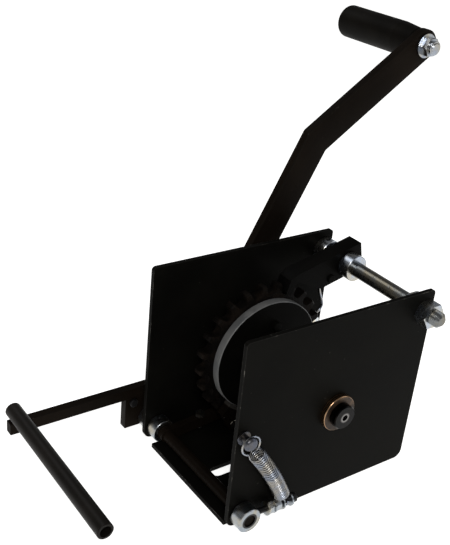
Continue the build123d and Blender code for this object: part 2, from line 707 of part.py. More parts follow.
def pawl_rod():
    """Tie rod between the plates, threaded at both ends."""
    radius = ROD_D / 2
    front = -OUTER_Y - ROD_FRONT_OUT
    rear = OUTER_Y + ROD_REAR_OUT
    pitch = ROD_THREAD_PITCH
    front_turns = int((ROD_FRONT_OUT - ROD_TIP_L) / pitch)
    rear_turns = int((ROD_REAR_OUT - SHAFT_EDGE) / pitch)
    points = [(0, front), (radius - ROD_TIP_L, front), (radius, front + ROD_TIP_L)]
    rear_start = rear - SHAFT_EDGE - rear_turns * pitch
    points += thread_points(radius, ROD_THREAD_DEPTH, front + ROD_TIP_L, front_turns, pitch)[1:]
    points += thread_points(radius, ROD_THREAD_DEPTH, rear_start, rear_turns, pitch)
    points += [(radius - SHAFT_EDGE, rear), (0, rear)]
    return turned_y(ROD_X, ROD_Z, points)


def rod_nuts():
    places = [-OUTER_Y - ROD_NUT_T, -INNER_Y, OUTER_Y]
    return Compound([hex_nut_y(ROD_X, ROD_Z, ROD_NUT_AF, y, y + ROD_NUT_T, ROD_D) for y in places])


def collar(x, z, bore, outside, y_from, screw_angle):
    """Set-screw shaft collar, with a radial hole for its screw."""
    body = rod_y(x, z, outside, y_from, y_from + COLLAR_W)
    body = chamfer(rims(body, outside / 2), COLLAR_EDGE)
    body -= rod_y(x, z, bore, y_from, y_from + COLLAR_W)
    return body - collar_screw_hole(x, z, outside, y_from, screw_angle)


def radial_rod(x, z, y, radius_from, radius_to, diameter, angle):
    """A round bar that points away from a Y axis through (x, z)."""
    start = polar(radius_from, angle, x, z)
    end = polar(radius_to, angle, x, z)
    path = Line((start[0], y, start[1]), (end[0], y, end[1]))
    section = Plane(path @ 0, z_dir=path % 0) * Circle(diameter / 2)
    return extrude(section, amount=path.length, dir=path % 0)


def collar_screw_hole(x, z, outside, y_from, angle):
    """Hole from inside the bore to outside the collar."""
    y = y_from + COLLAR_W / 2
    return radial_rod(x, z, y, 0, outside / 2 + COLLAR_EDGE, COLLAR_SCREW_D, angle)


def collar_screw(x, z, bore, outside, y_from, angle):
    """Set screw that meets the shaft and ends a little below the collar's surface."""
    y = y_from + COLLAR_W / 2
    end = outside / 2 - COLLAR_SCREW_SUNK
    screw = radial_rod(x, z, y, bore / 2, end, COLLAR_SCREW_D, angle)
    mouth = polar(end, angle, x, z)
    inward = polar(end - SOCKET_DEPTH, angle, x, z)
    path = Line((mouth[0], y, mouth[1]), (inward[0], y, inward[1]))
    socket = Plane(path @ 0, z_dir=path % 0) * RegularPolygon(SOCKET_AF / 2, 6, major_radius=False)
    return screw - extrude(socket, amount=SOCKET_DEPTH, dir=path % 0)


ROD_COLLARS = [(PAWL_COLLAR_Y, PAWL_COLLAR_ANGLE), (ROD_COLLAR_Y, ROD_COLLAR_ANGLE)]


def rod_collars():
    rows = [collar(ROD_X, ROD_Z, ROD_D, ROD_COLLAR_D, y, angle) for y, angle in ROD_COLLARS]
    return Compound(rows)


def rod_collar_screws():
    rows = [collar_screw(ROD_X, ROD_Z, ROD_D, ROD_COLLAR_D, y, angle) for y, angle in ROD_COLLARS]
    return Compound(rows)


def pawl_spring():
    """Torsion spring round the rod: one long leg down to the anchor, one short leg on the pin."""
    coil = None
    for turn in range(PAWL_COIL_TURNS):
        y = PAWL_COIL_Y + (turn - (PAWL_COIL_TURNS - 1) / 2) * PAWL_WIRE_D * COIL_CLOSENESS
        loop = ring_y(ROD_X, ROD_Z, PAWL_COIL_R, PAWL_WIRE_D, y)
        coil = loop if coil is None else coil + loop
    y = PAWL_COIL_Y
    reach = ANCHOR_D / 2 + PAWL_WIRE_D / 2 + BODY_GAP
    bends = [(ANCHOR_X + across, y, ANCHOR_Z + up) for across, up in (LEG_KNEE, LEG_SWAY, LEG_FOOT)]
    end = (ANCHOR_X - ANCHOR_D, y, ANCHOR_Z + reach)
    route = FilletPolyline((ROD_X - PAWL_COIL_R, y, ROD_Z), *bends, end, radius=LEG_BEND_R)
    long_leg = sweep(Plane(route @ 0, z_dir=route % 0) * Circle(PAWL_WIRE_D / 2), path=route)
    above_pin = (PAWL_PIN_D + PAWL_WIRE_D) / 2 - PAWL_PIN_DROP + BODY_GAP
    pin_x, pin_z = pawl_point(PAWL_PIN_BACK + PAWL_PIN_D, above_pin)
    top = polar(PAWL_COIL_R, PAWL_TILT + 90 + LEG_LEAN, ROD_X, ROD_Z)
    start = Vector(top[0], y, top[1])
    end = Vector(pin_x, y, pin_z)
    path = Line(start, end)
    section = Plane(start, z_dir=path % 0) * Circle(PAWL_WIRE_D / 2)
    short_leg = extrude(section, amount=path.length, dir=path % 0)
    return coil + long_leg + short_leg


def spring_anchor():
    """Shouldered screw in the rear plate that holds the pawl spring's long leg."""
    head_y = PAWL_COIL_Y - PAWL_WIRE_D - ANCHOR_HEAD_T
    head = rod_y(ANCHOR_X, ANCHOR_Z, ANCHOR_HEAD_D, head_y, head_y + ANCHOR_HEAD_T)
    head = fillet(end_rim(head, ANCHOR_HEAD_D / 2, head_y), DISC_EDGE)
    return head + rod_y(ANCHOR_X, ANCHOR_Z, ANCHOR_D, head_y + ANCHOR_HEAD_T, OUTER_Y)


# ---- brake shaft and foot bar ----
PEDAL_COLLARS = [
    (PEDAL_FRONT_Y, STUD_ANGLE),
    (INNER_COLLAR_Y, PEDAL_COLLAR_ANGLE),
    (OUTER_COLLAR_Y, PEDAL_COLLAR_ANGLE),
]


def pedal_shaft():
    shaft = rod_y(PEDAL_X, PEDAL_Z, PEDAL_D, PEDAL_FRONT_Y + SHAFT_EDGE, LINK_END_Y)
    return chamfer(rims(shaft, PEDAL_D / 2), SHAFT_EDGE)


def pedal_collars():
    rows = [collar(PEDAL_X, PEDAL_Z, PEDAL_D, COLLAR_D, y, angle) for y, angle in PEDAL_COLLARS]
    return Compound(rows)


def pedal_collar_screws():
    rows = [collar_screw(PEDAL_X, PEDAL_Z, PEDAL_D, COLLAR_D, y, angle) for y, angle in PEDAL_COLLARS[1:]]
    return Compound(rows)


def spring_stud():
    """Long cap screw, screwed into the front collar in place of its set screw."""
    shank = rod_x(STUD_Y, PEDAL_Z, STUD_D, PEDAL_X + PEDAL_D / 2, STUD_END_X)
    head = rod_x(STUD_Y, PEDAL_Z, STUD_HEAD_D, STUD_END_X, STUD_END_X + STUD_HEAD_T)
    head = chamfer(head.edges().filter_by(GeomType.CIRCLE), COLLAR_EDGE)
    hexagon = Plane((STUD_END_X + STUD_HEAD_T, STUD_Y, PEDAL_Z), z_dir=(-1, 0, 0))
    socket = hexagon * RegularPolygon(SOCKET_AF / 2, 6, major_radius=False)
    return shank + head - extrude(socket, amount=SOCKET_DEPTH, dir=(-1, 0, 0))


def stud_nut(x_from):
    hexagon = RegularPolygon(STUD_NUT_AF / 2, 6, major_radius=False)
    nut = extrude(Plane((x_from, STUD_Y, PEDAL_Z), z_dir=(1, 0, 0)) * hexagon, amount=STUD_NUT_T)
    turned = rod_x(STUD_Y, PEDAL_Z, 2 * STUD_NUT_AF / math.sqrt(3), x_from, x_from + STUD_NUT_T)
    nut = nut & chamfer(turned.edges().filter_by(GeomType.CIRCLE), COLLAR_EDGE)
    return nut - rod_x(STUD_Y, PEDAL_Z, STUD_D, x_from, x_from + STUD_NUT_T)


def stud_washer(x_from):
    washer = rod_x(STUD_Y, PEDAL_Z, STUD_WASHER_D, x_from, x_from + STUD_WASHER_T)
    return washer - rod_x(STUD_Y, PEDAL_Z, STUD_D, x_from, x_from + STUD_WASHER_T)


def stud_nuts():
    return Compound([stud_nut(PEDAL_X + place) for place in STUD_NUT_PLACES])


def stud_washers():
    """One washer behind each nut, and two under the head with the spring's hook between them."""
    outer = STUD_END_X - STUD_WASHER_T
    inner = outer - STUD_WASHER_GAP - STUD_WASHER_T
    places = [PEDAL_X + place - STUD_WASHER_T for place in STUD_NUT_PLACES]
    return Compound([stud_washer(x) for x in (*places, inner, outer)])


def pedal_link():
    """Upright block that joins the foot bar's arm to the brake shaft."""
    left = PEDAL_X - LINK_LEFT
    link = block(left, left + LINK_W, LINK_Y, LINK_END_Y, PEDAL_Z - LINK_BELOW, ARM_Z)
    link -= rod_y(PEDAL_X, PEDAL_Z, PEDAL_D, LINK_Y, LINK_END_Y)
    return link - link_screw_shank()


def link_screw_shank():
    return rod_y(LINK_SCREW_X, LINK_SCREW_Z, LINK_SCREW_D, LINK_Y, LINK_END_Y)


def link_screw():
    head = rod_y(LINK_SCREW_X, LINK_SCREW_Z, LINK_SCREW_HEAD_D, LINK_Y - LINK_SCREW_HEAD_T, LINK_Y)
    head = fillet(end_rim(head, LINK_SCREW_HEAD_D / 2, LINK_Y - LINK_SCREW_HEAD_T), DISC_EDGE)
    return head + link_screw_shank()


def pedal_arm():
    right = PEDAL_X - LINK_LEFT + LINK_W
    return block(FOOT_X - ARM_END, right, LINK_Y, LINK_Y + ARM_T, ARM_Z, ARM_Z + ARM_H)


def foot_bar():
    """Tube that lies across the end of the arm."""
    rear = LINK_END_Y + FOOT_BAR_OVERHANG
    front = rear - FOOT_BAR_L
    bar = rod_y(FOOT_X, FOOT_Z, FOOT_BAR_D, front, rear)
    bar -= rod_y(FOOT_X, FOOT_Z, FOOT_BAR_D - 2 * FOOT_BAR_WALL, front, rear)
    return chamfer(rims(bar, FOOT_BAR_D / 2), COLLAR_EDGE)


# ---- brake arm and shoe ----
def brake_arm():
    """Arm keyed to the brake shaft; it swings the shoe up against the disc."""
    length = math.hypot(BRAKE_REACH, BRAKE_RISE)
    slope = math.degrees(math.atan2(BRAKE_RISE, BRAKE_REACH))
    middle = polar(length / 2, slope, PEDAL_X, PEDAL_Z)
    profile = Pos(*middle) * Rot(0, 0, slope) * Rectangle(length, BRAKE_ARM_H)
    profile += Pos(PEDAL_X, PEDAL_Z) * Circle(BRAKE_HUB_R)
    profile += Pos(CROSS_X, CROSS_Z) * Circle(BRAKE_ARM_H / 2)
    arm = prism(profile, BRAKE_ARM_Y, INNER_COLLAR_Y)
    arm -= rod_y(PEDAL_X, PEDAL_Z, PEDAL_D, BRAKE_ARM_Y, INNER_COLLAR_Y)
    arm -= rod_y(CROSS_X, CROSS_Z, CROSS_PIN_D, BRAKE_ARM_Y, INNER_COLLAR_Y)
    return arm - brake_stop_screw()


def stop_screw_shank():
    return rod_z(STOP_SCREW_X, STOP_SCREW_Y, STOP_SCREW_D, BASE_T + STOP_GAP, STOP_HEAD_Z)


def brake_stop_screw():
    """Screw in the brake arm whose tip meets the base plate when the foot bar is lifted."""
    hexagon = RegularPolygon(STOP_SCREW_HEAD_AF / 2, 6, major_radius=False)
    head = extrude(Pos(STOP_SCREW_X, STOP_SCREW_Y, STOP_HEAD_Z) * hexagon, amount=STOP_SCREW_HEAD_T)
    return head + stop_screw_shank()


def cross_pin():
    pin = rod_y(CROSS_X, CROSS_Z, CROSS_PIN_D, DISC_Y, INNER_COLLAR_Y)
    return chamfer(rims(pin, CROSS_PIN_D / 2), COLLAR_EDGE)


def ring_sector(inner_r, outer_r, angle, half_angle, y_from, y_to):
    """Part of a ring about the main shaft."""
    reach = 2 * outer_r
    corners = [(SHAFT_X, SHAFT_Z), polar(reach, angle - half_angle), polar(reach, angle + half_angle)]
    wedge = make_face(Polyline(*corners, close=True))
    ring = Pos(SHAFT_X, SHAFT_Z) * (Circle(outer_r) - Circle(inner_r))
    return prism(ring & wedge, y_from, y_to)


def brake_lining():
    inner = DISC_D / 2 + LINING_GAP
    return ring_sector(inner, inner + LINING_T, SHOE_ANGLE, SHOE_HALF_ANGLE, DISC_Y, DISC_Y + SHOE_T)


def brake_shoe():
    inner = DISC_D / 2 + LINING_GAP + LINING_T
    end_y = DISC_Y + SHOE_T
    shoe = ring_sector(inner, inner + SHOE_DEPTH, SHOE_ANGLE, SHOE_HALF_ANGLE, DISC_Y, end_y)
    shoe += rod_y(CROSS_X, CROSS_Z, 2 * SHOE_BOSS_R, DISC_Y, end_y)
    return shoe - rod_y(CROSS_X, CROSS_Z, CROSS_PIN_D, DISC_Y, end_y)


# ---- return spring ----
def spring_screw():
    """Button-head screw that stands off the front plate and carries the spring's eye."""
    head_end = HEAD_Y - SPRING_HEAD_T
    head = rod_y(SPRING_SCREW_X, SPRING_SCREW_Z, SPRING_HEAD_D, head_end, HEAD_Y)
    head = fillet(end_rim(head, SPRING_HEAD_D / 2, head_end), SPRING_HEAD_T - COLLAR_EDGE)
    return head + rod_y(SPRING_SCREW_X, SPRING_SCREW_Z, SPRING_SCREW_D, HEAD_Y, -INNER_Y)


def spring_washer():
    start = -OUTER_Y - SPRING_WASHER_T
    washer = rod_y(SPRING_SCREW_X, SPRING_SCREW_Z, SPRING_WASHER_D, start, -OUTER_Y)
    return washer - rod_y(SPRING_SCREW_X, SPRING_SCREW_Z, SPRING_SCREW_D, start, -OUTER_Y)


def return_spring():
    """Close-wound tension spring from the eye on the screw to the hook on the stud."""
    top = Vector(SPRING_SCREW_X, SPRING_Y, SPRING_SCREW_Z)
    hook = Vector(HOOK_X, STUD_Y, PEDAL_Z)
    below = Vector(HOOK_X, SPRING_Y, PEDAL_Z)
    along = (below - top).normalized()
    length = (below - top).length - SPRING_BODY_TOP - SPRING_BODY_BOTTOM
    pitch = SPRING_WIRE_D * COIL_CLOSENESS
    turns = int(length / pitch)
    mean_r = (SPRING_OD - SPRING_WIRE_D) / 2
    wire = Circle(SPRING_WIRE_D / 2)
    chain = Pos(mean_r, 0) * wire
    for turn in range(1, turns + 1):
        chain += Pos(mean_r, turn * pitch) * wire
    start = top + along * SPRING_BODY_TOP
    side = Vector(0, 1, 0)
    lying = Plane(start, x_dir=side, z_dir=side.cross(along))
    coil = revolve(lying * chain, Axis(start, along), 360)
    body_end = start + along * (turns * pitch)
    hang = SPRING_EYE_R - (SPRING_WIRE_D + SPRING_SCREW_D) / 2 - SPRING_SLACK
    eye_centre = top + along * hang
    eye = ring_y(eye_centre.X, eye_centre.Z, SPRING_EYE_R, SPRING_WIRE_D, SPRING_Y)
    section = Plane(hook + Vector(0, HOOK_R, 0), x_dir=(0, 1, 0), z_dir=(0, 0, 1)) * wire
    ring = revolve(section, Axis(hook, (1, 0, 0)), 360)
    top_link = spring_link(eye_centre + along * SPRING_EYE_R, start + side * mean_r, wire)
    bottom_link = spring_link(hook + Vector(0, 0, HOOK_R), body_end + side * mean_r, wire)
    return coil + eye + ring + top_link + bottom_link


def spring_link(start, end, wire):
    """Short straight wire between a coil and its eye or hook."""
    along = end - start
    return extrude(Plane(start, z_dir=along) * wire, amount=along.length, dir=along)


NODES = {
    "front_plate": front_plate,
    "rear_plate": rear_plate,
    "base_plate": base_plate,
    "base_welds": base_welds,
    "front_bushing": lambda: bushing(-1),
    "rear_bushing": lambda: bushing(1),
    "main_shaft": main_shaft,
    "thrust_washers": thrust_washers,
    "drum_flange": drum_flange,
    "drum_barrel": drum_barrel,
    "brake_disc": brake_disc,
    "disc_screws": lambda: Compound(disc_screw_solids()),
    "rope_clamp_screw": rope_clamp_screw,
    "ratchet_sprocket": ratchet_sprocket,
    "sprocket_key": sprocket_key,
    "hub_set_screw": hub_set_screw,
    "crank_hub": crank_hub,
    "crank_key": crank_key,
    "crank_arm": crank_arm,
    "crank_washer": crank_washer,
    "crank_bolt": crank_bolt,
    "handle_bolt": handle_bolt,
    "handle_washers": handle_washers,
    "handle_nut": handle_nut,
    "handle_grip": handle_grip,
    "pawl": pawl,
    "pawl_pin": pawl_pin,
    "pawl_rod": pawl_rod,
    "rod_nuts": rod_nuts,
    "rod_collars": rod_collars,
    "rod_collar_screws": rod_collar_screws,
    "pawl_spring": pawl_spring,
    "spring_anchor": spring_anchor,
    "pedal_shaft": pedal_shaft,
    "pedal_collars": pedal_collars,
    "pedal_collar_screws": pedal_collar_screws,
    "spring_stud": spring_stud,
    "stud_nuts": stud_nuts,
    "stud_washers": stud_washers,
    "pedal_link": pedal_link,
    "link_screw": link_screw,
    "pedal_arm": pedal_arm,
    "foot_bar": foot_bar,
    "brake_arm": brake_arm,
    "brake_stop_screw": brake_stop_screw,
    "cross_pin": cross_pin,
    "brake_shoe": brake_shoe,
    "brake_lining": brake_lining,
    "spring_screw": spring_screw,
    "spring_washer": spring_washer,
    "return_spring": return_spring,
}

os.makedirs("parts", exist_ok=True)
for name, make in NODES.items():
    write(name, make())
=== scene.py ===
# %% [markdown]
# # A hand winch for a boat trailer
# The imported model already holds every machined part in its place. Blender adds what a
# machinist's drawing leaves out: softened edges, real wound springs, weld beads, and the
# finish of each metal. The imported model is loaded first, because every place comes from it.

import math

import bpy
from mathutils import Matrix, Vector


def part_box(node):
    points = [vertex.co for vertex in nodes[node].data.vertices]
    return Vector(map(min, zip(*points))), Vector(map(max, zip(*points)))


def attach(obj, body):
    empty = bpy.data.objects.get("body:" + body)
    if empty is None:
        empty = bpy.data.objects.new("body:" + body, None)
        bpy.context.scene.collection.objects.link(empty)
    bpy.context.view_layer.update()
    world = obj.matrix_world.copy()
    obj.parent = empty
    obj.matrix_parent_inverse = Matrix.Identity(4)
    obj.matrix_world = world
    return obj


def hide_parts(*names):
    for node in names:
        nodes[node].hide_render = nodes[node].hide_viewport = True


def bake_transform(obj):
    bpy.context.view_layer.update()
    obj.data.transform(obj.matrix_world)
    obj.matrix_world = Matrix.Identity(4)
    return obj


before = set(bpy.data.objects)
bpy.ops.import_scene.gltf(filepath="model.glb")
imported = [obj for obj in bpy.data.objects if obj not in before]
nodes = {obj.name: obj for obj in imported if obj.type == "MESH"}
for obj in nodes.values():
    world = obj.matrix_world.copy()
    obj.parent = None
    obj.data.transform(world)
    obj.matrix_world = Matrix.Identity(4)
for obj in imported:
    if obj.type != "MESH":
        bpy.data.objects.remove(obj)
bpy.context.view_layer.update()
MM = 0.001

# %% [markdown]
# ## The camera
# The winch is seen from its front left corner and from above, with the camera tipped a
# little about its own line of sight. Three angles and a place set that once, and a matrix
# built from them has no order of turns to get wrong.

# %% Place the camera
CAMERA_PLACE = Vector((-0.5255, -0.5797, 0.5938))
CAMERA_AZIMUTH = math.radians(-37.2)
CAMERA_ELEVATION = math.radians(26.711)
CAMERA_ROLL = math.radians(5.726)
CAMERA_LENS = 59.31


def view_axes(azimuth, elevation, roll):
    """Right, up and backward directions of a camera."""
    level = math.cos(elevation)
    back = Vector((math.sin(azimuth) * level, -math.cos(azimuth) * level, math.sin(elevation)))
    right = Vector((0, 0, 1)).cross(back).normalized()
    up = back.cross(right)
    turned_right = right * math.cos(roll) + up * math.sin(roll)
    turned_up = up * math.cos(roll) - right * math.sin(roll)
    return turned_right, turned_up, back


axes = Matrix(view_axes(CAMERA_AZIMUTH, CAMERA_ELEVATION, CAMERA_ROLL)).transposed()
bpy.ops.object.select_all(action="DESELECT")
bpy.ops.object.camera_add()
camera = bpy.context.object
camera.data.lens = CAMERA_LENS
camera.data.clip_end = 20
camera.matrix_world = Matrix.Translation(CAMERA_PLACE) @ axes.to_4x4()
bpy.context.scene.camera = camera
print("camera", tuple(round(v, 3) for v in camera.location))

# %% [markdown]
# ## Shader sums as plain Python
# A finish is mostly arithmetic on a few noise patterns. Wrapping a socket in a small class
# lets that be written as sums, and each operator adds the Math node that does it.


# %% A socket that can be added and multiplied
class Signal:
    """One number or colour that varies over a surface."""

    def __init__(self, finish, socket):
        self.finish = finish
        self.socket = socket

    def __add__(self, other):
        return self.finish.math("ADD", self, other)

    def __sub__(self, other):
        return self.finish.math("SUBTRACT", self, other)

    def __rsub__(self, other):
        return self.finish.math("SUBTRACT", other, self)

    def __mul__(self, other):
        return self.finish.math("MULTIPLY", self, other)

    def __truediv__(self, other):
        return self.finish.math("DIVIDE", self, other)

    def between(self, low, high):
        """0 below low, 1 above high, and a smooth ramp from one to the other."""
        settings = {"interpolation_type": "SMOOTHSTEP"}
        inputs = {"Value": self, "From Min": low, "From Max": high}
        return self.finish.signal("ShaderNodeMapRange", settings, inputs, "Result")

    __radd__ = __add__
    __rmul__ = __mul__


class Finish:
    """A material under construction."""

    def __init__(self, name):
        self.material = bpy.data.materials.new(name)
        self.material.use_nodes = True
        self.tree = self.material.node_tree
        self.tree.nodes.clear()

    def node(self, kind, settings, inputs):
        """Adds one node: its settings first, then a value or a link for each socket."""
        node = self.tree.nodes.new(kind)
        for key, value in settings.items():
            setattr(node, key, value)
        for key, value in inputs.items():
            if isinstance(value, Signal):
                self.tree.links.new(value.socket, node.inputs[key])
            else:
                node.inputs[key].default_value = value
        return node

    def signal(self, kind, settings, inputs, output=0):
        return Signal(self, self.node(kind, settings, inputs).outputs[output])

    def math(self, operation, *values):
        return self.signal("ShaderNodeMath", {"operation": operation}, dict(enumerate(values)))

    def place(self, centre=(0, 0, 0)):
        """Object coordinates in metres, counted from a centre."""
        here = self.signal("ShaderNodeTexCoord", {}, {}, "Object")
        return self.signal("ShaderNodeVectorMath", {"operation": "SUBTRACT"}, {0: here, 1: centre})

    def split(self, vector):
        node = self.node("ShaderNodeSeparateXYZ", {}, {0: vector})
        return [Signal(self, socket) for socket in node.outputs]

    def noise(self, vector, scale, detail=3.0, roughness=0.55):
        inputs = {"Vector": vector, "Scale": scale, "Detail": detail, "Roughness": roughness}
        return self.signal("ShaderNodeTexNoise", {}, inputs)

    def mix(self, amount, first, second):
        """A colour between two colours."""
        inputs = {0: amount, 6: rgba(first), 7: rgba(second)}
        return self.signal("ShaderNodeMix", {"data_type": "RGBA"}, inputs, 2)

    def around(self, place):
        """Distance from the Y axis, and the place along it."""
        x, y, z = self.split(place)
        return self.math("SQRT", x * x + z * z), y

    def turned(self, place, lines):
        """Fine rings such as a lathe leaves, round the Y axis."""
        radius, along = self.around(place)
        rings = self.signal("ShaderNodeCombineXYZ", {}, {0: radius * lines, 1: along * lines})
        return self.noise(rings, 1.0, 2.0)

    def bump(self, height, distance, strength=1.0):
        inputs = {"Strength": strength, "Distance": distance, "Height": height}
        return self.signal("ShaderNodeBump", {}, inputs)

    def surface(self, **inputs):
        """Ends the material with one Principled shader."""
        sockets = {key.replace("_", " "): value for key, value in inputs.items()}
        shader = self.node("ShaderNodeBsdfPrincipled", {}, sockets)
        out = self.node("ShaderNodeOutputMaterial", {}, {})
        self.tree.links.new(shader.outputs[0], out.inputs[0])
        return self.material


def rgba(colour):
    return colour if isinstance(colour, Signal) else (*colour, 1.0)


def middle(node):
    """The centre of a CAD node's box."""
    low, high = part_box(node)
    return (low + high) / 2


SHAFT = middle("main_shaft")
ROD = middle("pawl_rod")
PEDAL = middle("pedal_shaft")
HANDLE = middle("handle_bolt")
print("shaft axis", [round(v, 4) for v in SHAFT])

# %% [markdown]
# ## Paint
# The plates and bars are sprayed satin black over plain steel. Real paint is never one
# value: it has a soft cloud of thicker and thinner film, a fine orange peel, a little dust
# and small chips where other parts have knocked it. The same recipe makes each painted
# finish, and only the colour and the size of its features change.


# %% Painted steel
def painted(name, deep, thin, gloss, peel=1.0, chips=0.0, dust=0.25, shine=0.02):
    finish = Finish(name)
    place = finish.place()
    cloud = finish.noise(place, 14.0, 5.0)
    fine = finish.noise(place, 700.0, 2.0)
    specks = finish.noise(place, 230.0, 2.0, 0.6).between(0.735, 0.765)
    wear = finish.noise(place, 120.0, 6.0, 0.7).between(0.70 - 0.1 * chips, 0.74 - 0.1 * chips)
    colour = finish.mix(cloud.between(0.32, 0.72), deep, thin)
    colour = finish.mix(specks * dust, colour, (0.10, 0.095, 0.085))
    colour = finish.mix(wear * chips, colour, (0.12, 0.11, 0.10))
    roughness = 0.62 - gloss * 0.34 + (cloud - 0.5) * 0.22 + (fine - 0.5) * 0.10 + specks * 0.2
    height = fine * 0.5 + cloud + specks * 0.6
    return finish.surface(
        Base_Color=colour,
        Roughness=roughness,
        Specular_IOR_Level=shine,
        Normal=finish.bump(height, 0.00012 * peel, 0.55),
    )


def worn_edge(name, paint, bare, share):
    """Paint rubbed through to steel in places, for the narrow bevels along an edge."""
    finish = Finish(name)
    place = finish.place()
    rub = finish.noise(place, 90.0, 6.0, 0.75)
    bare_here = rub.between(0.62 - share * 0.3, 0.72 - share * 0.3)
    return finish.surface(
        Base_Color=finish.mix(bare_here, paint, bare),
        Metallic=bare_here * 0.8,
        Roughness=0.48 - bare_here * 0.14 + (rub - 0.5) * 0.3,
        Specular_IOR_Level=0.04,
        Normal=finish.bump(rub, 0.00025, 0.5),
    )


BLACK = (0.0024, 0.0023, 0.0019)
BLACK_THIN = (0.0042, 0.0040, 0.0032)
BROWN_BLACK = (0.0044, 0.0030, 0.0020)
BROWN_THIN = (0.0080, 0.0056, 0.0038)
FOOT_BLACK = (0.0062, 0.0052, 0.0042)
FOOT_THIN = (0.0120, 0.0100, 0.0082)
PAWL_BLACK = (0.0020, 0.0019, 0.0018)
PAWL_THIN = (0.0038, 0.0036, 0.0032)
WELD_THIN = (0.006, 0.0055, 0.0048)
OXIDE = (0.004, 0.004, 0.0045)
OXIDE_THIN = (0.010, 0.0095, 0.010)
# The plates' bevel paint is several times lighter than their face paint: a painted highlight along
# every edge of the plates and the pawl, with rubbed steel in patches as wear.
PLATE_EDGE_PAINTED_HIGHLIGHT = (0.010, 0.0095, 0.0085)
BAR_EDGE = (0.006, 0.0045, 0.0032)
RUBBED_STEEL = (0.09, 0.085, 0.075)
plate_paint = painted("plate_paint", BLACK, BLACK_THIN, gloss=0.45, chips=0.08, dust=0.2)
plate_edge = worn_edge("plate_edge", PLATE_EDGE_PAINTED_HIGHLIGHT, RUBBED_STEEL, 0.30)
bar_paint = painted("bar_paint", BROWN_BLACK, BROWN_THIN, gloss=0.45, peel=1.2, chips=0.05, dust=0.12)
bar_edge = worn_edge("bar_edge", BAR_EDGE, RUBBED_STEEL, 0.0)
foot_paint = painted(
    "foot_paint", FOOT_BLACK, FOOT_THIN, gloss=0.50, peel=1.4, chips=0.05, dust=0.15, shine=0.08
)
pawl_paint = painted("pawl_paint", PAWL_BLACK, PAWL_THIN, gloss=0.5, peel=1.4, chips=0.05, dust=0.1)
weld_paint = painted("weld_paint", BLACK, WELD_THIN, gloss=0.7, peel=2.0, chips=0.05)
dark_oxide = painted(
    "dark_oxide", OXIDE, OXIDE_THIN, gloss=0.8, peel=0.8, chips=0.1, dust=0.1, shine=0.2
)
print("paints", len((plate_paint, bar_paint, foot_paint, pawl_paint, weld_paint, dark_oxide)))

# %% [markdown]
# ## The sprocket's scale
# The sprocket is bought bare and left in its oxide, brown where damp has reached it. It is
# rougher than the paint, so the light dies on it, and the rust sits in blotches.


# %% Oxidised steel
def oxidised(name):
    finish = Finish(name)
    place = finish.place(SHAFT)
    blotch = finish.noise(place, 60.0, 6.0, 0.65)
    grit = finish.noise(place, 900.0, 3.0, 0.7)
    rust = blotch.between(0.46, 0.66)
    colour = finish.mix(rust, (0.0034, 0.0028, 0.0024), (0.0085, 0.0060, 0.0044))
    colour = finish.mix(grit.between(0.55, 0.8) * 0.35, colour, (0.016, 0.012, 0.0095))
    return finish.surface(
        Base_Color=colour,
        Metallic=0.12 - rust * 0.1,
        Specular_IOR_Level=0.04,
        Roughness=0.55 + rust * 0.22 + (grit - 0.5) * 0.15,
        Normal=finish.bump(grit + blotch, 0.0003, 0.7),
    )


sprocket_oxide = oxidised("sprocket_oxide")
sprocket_edge = worn_edge("sprocket_edge", (0.008, 0.006, 0.005), (0.045, 0.036, 0.030), 0.25)

# %% [markdown]
# ## Bright metal
# Collars, nuts and screws are turned or drawn and then zinc plated. Lathe rings round each
# part's own axis break its highlight, and the plating shifts from warm to blue. The centre
# is given for each group, because the rings must run round the axis that it was turned on.


# %% Zinc plate, drawn wire, bronze and bare turned steel
def plated(name, centre, tint, lines, base_roughness, painted_centre=None):
    """Turned and plated metal; the last argument paints light near the axis, painted shade when
    darker and a painted highlight when lighter: full, gone, colour.
    """
    finish = Finish(name)
    place = finish.place(centre)
    rings = finish.turned(place, lines)
    cloud = finish.noise(place, 70.0, 4.0)
    stain = finish.noise(place, 260.0, 5.0, 0.7).between(0.56, 0.74)
    warm = tuple(value * factor for value, factor in zip(tint, (1.0, 0.93, 0.80)))
    cool = tuple(value * factor for value, factor in zip(tint, (0.86, 0.93, 1.05)))
    colour = finish.mix(cloud.between(0.38, 0.62), warm, cool)
    colour = finish.mix(stain * 0.55, colour, tuple(value * 0.35 for value in tint))
    # Painted light near the axis: shade where the colour given is darker, a highlight where it is
    # lighter.
    if painted_centre:
        full, gone, painted_centre_colour = painted_centre
        radius, _ = finish.around(place)
        edge = radius + (cloud - 0.5) * 0.0012
        colour = finish.mix(edge.between(full, gone), painted_centre_colour, colour)
    return finish.surface(
        Base_Color=colour,
        Metallic=1.0,
        Roughness=base_roughness + (rings - 0.5) * 0.18 + stain * 0.25,
        Normal=finish.bump(rings, 0.00006, 0.5),
    )


def bearing_bronze(name):
    """Brown and dull on the face, with a painted highlight as a bright ring of colour at the rim."""
    finish = Finish(name)
    place = finish.place(SHAFT)
    radius, _ = finish.around(place)
    rim_radius = (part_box("front_bushing")[1].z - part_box("front_bushing")[0].z) / 2
    rings = finish.turned(place, 2200.0)
    tarnish = finish.noise(place, 130.0, 5.0, 0.65)
    # Painted highlight: the outer millimetre of the flange gets bright bronze colour.
    rim = radius.between(rim_radius - 0.0010, rim_radius - 0.0003)
    dull = (1.0 - rim) * (0.8 + 0.2 * tarnish.between(0.30, 0.62))
    return finish.surface(
        Base_Color=finish.mix(dull, (0.34, 0.21, 0.12), (0.016, 0.0095, 0.006)),
        Metallic=1.0 - dull * 0.35,
        Roughness=0.26 + dull * 0.24 + (rings - 0.5) * 0.2,
        Normal=finish.bump(rings, 0.00008, 0.6),
    )


